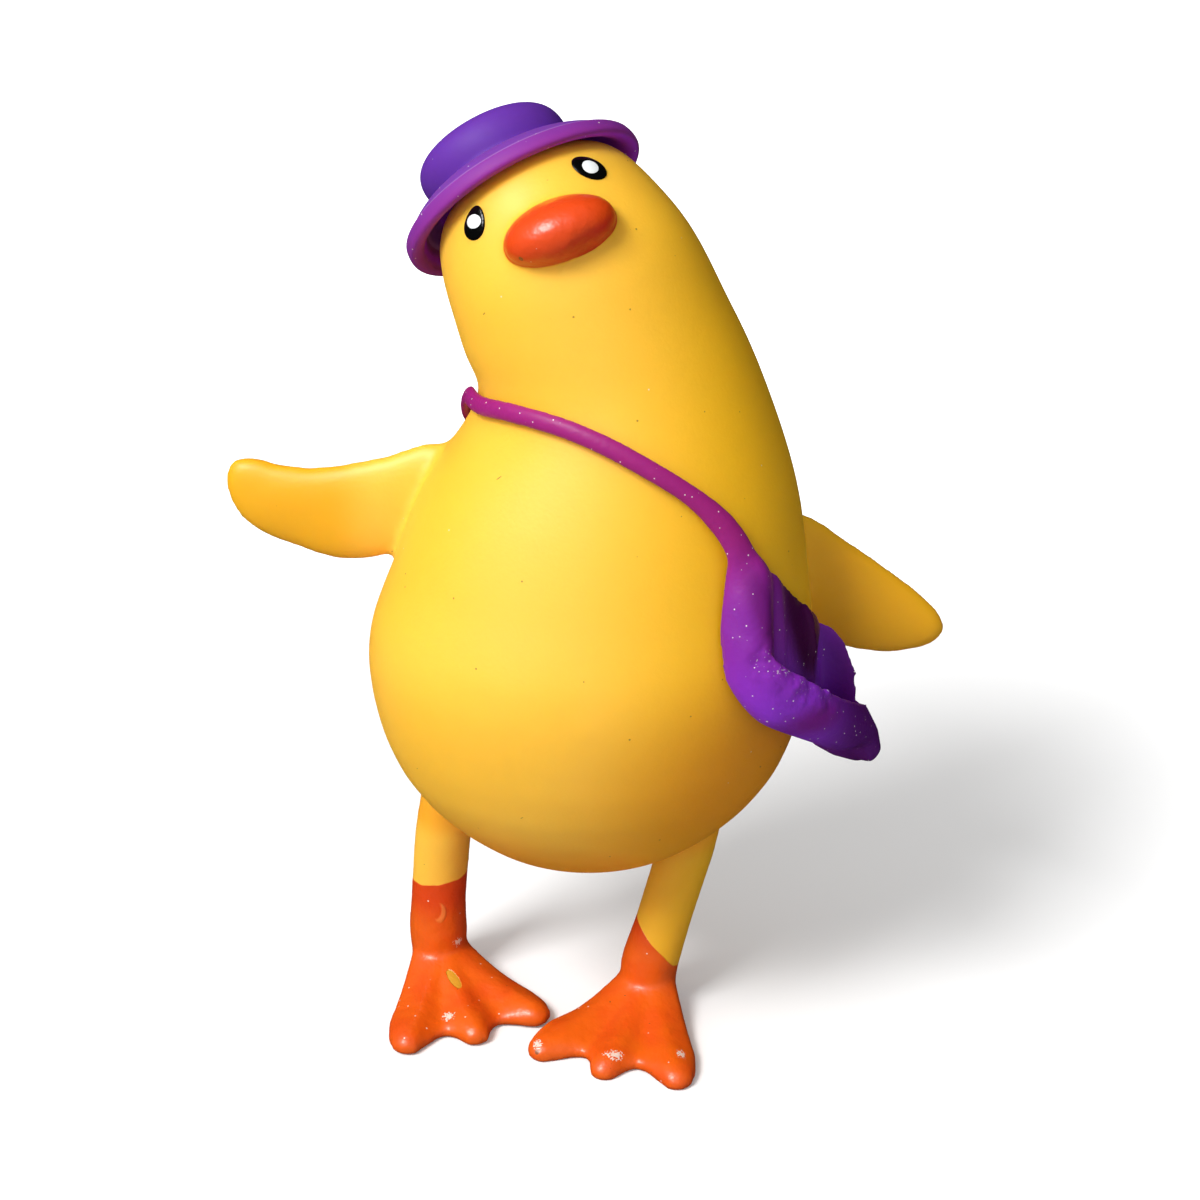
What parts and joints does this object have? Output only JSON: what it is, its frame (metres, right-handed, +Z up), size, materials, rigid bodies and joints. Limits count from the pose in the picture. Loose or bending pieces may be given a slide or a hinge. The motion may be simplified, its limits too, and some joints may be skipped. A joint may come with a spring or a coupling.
{
  "type": "squishy duck",
  "caption": "Soft rubber squeeze duck standing on two webbed feet, with its head leaning to one side, in a small bowler hat and with a shoulder bag on a strap.",
  "frame": {"origin": "middle of the footprint's box, on the surface that the duck stands on", "axes": "+Z up, -Y the way the duck's chest faces, +X to the duck's own left, where the bag hangs"},
  "size_m": [0.0884, 0.0472, 0.119],
  "materials": {
    "duck_rubber": "satin yellow rubber, with glossy orange paint on the beak and feet and black and white painted eyes",
    "hat_rubber": "satin violet rubber",
    "bag_rubber": "satin purple rubber, a little see-through at its edges"
  },
  "bodies": {
    "root": {"duck_body": "duck_rubber", "hat": "hat_rubber", "shoulder_bag": "bag_rubber"}
  },
  "joints": []
}
